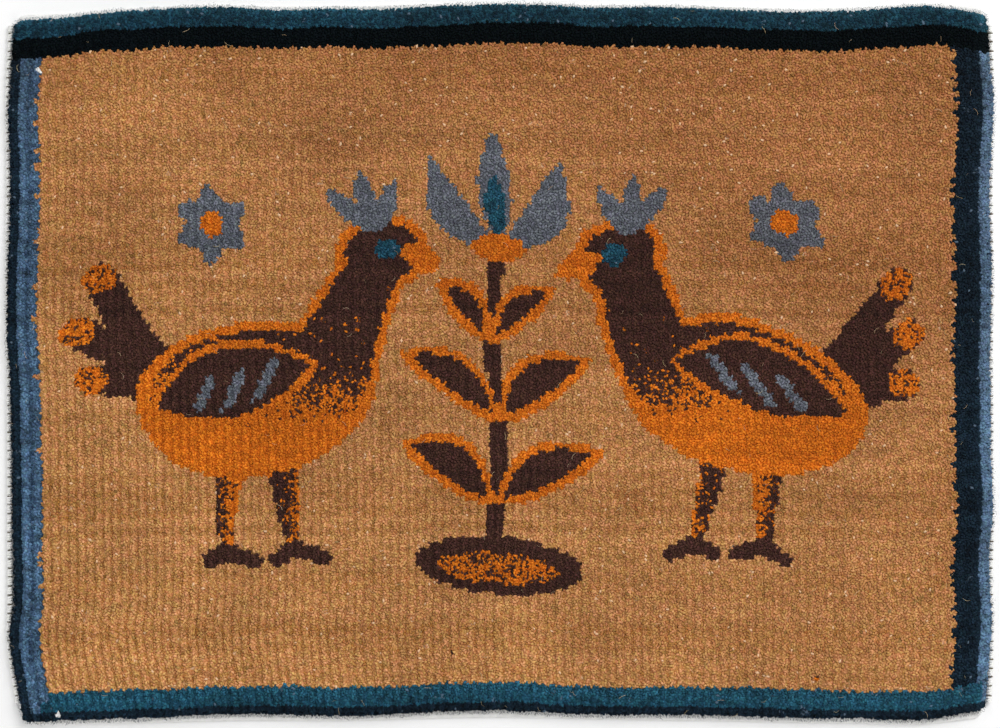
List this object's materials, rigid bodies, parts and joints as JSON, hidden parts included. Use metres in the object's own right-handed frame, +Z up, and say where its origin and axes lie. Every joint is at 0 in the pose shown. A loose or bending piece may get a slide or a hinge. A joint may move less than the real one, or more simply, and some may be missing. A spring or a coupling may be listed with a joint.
{
  "type": "pictorial rug",
  "caption": "Small hand-knotted wool pile rug with striped borders and overcast side cords, lying flat.",
  "frame": {"origin": "the middle of the rug's box, on the surface that it lies on", "axes": "+X across the rug along the wefts, +Y along the warps to the far end, +Z up out of the pile"},
  "size_m": [0.5997, 0.438, 0.0105],
  "materials": {
    "field_wool": "matt cut wool pile, tan",
    "orange_wool": "matt cut wool pile, orange",
    "brown_wool": "matt cut wool pile, dark aubergine brown",
    "slate_wool": "matt cut wool pile, slate blue",
    "teal_wool": "matt cut wool pile, dark teal",
    "navy_wool": "matt cut wool pile, blue black",
    "ivory_yarn": "matt ivory yarn"
  },
  "bodies": {
    "root": {"rug_body": "field_wool", "side_cord_left": "ivory_yarn", "side_cord_right": "ivory_yarn"}
  },
  "joints": []
}
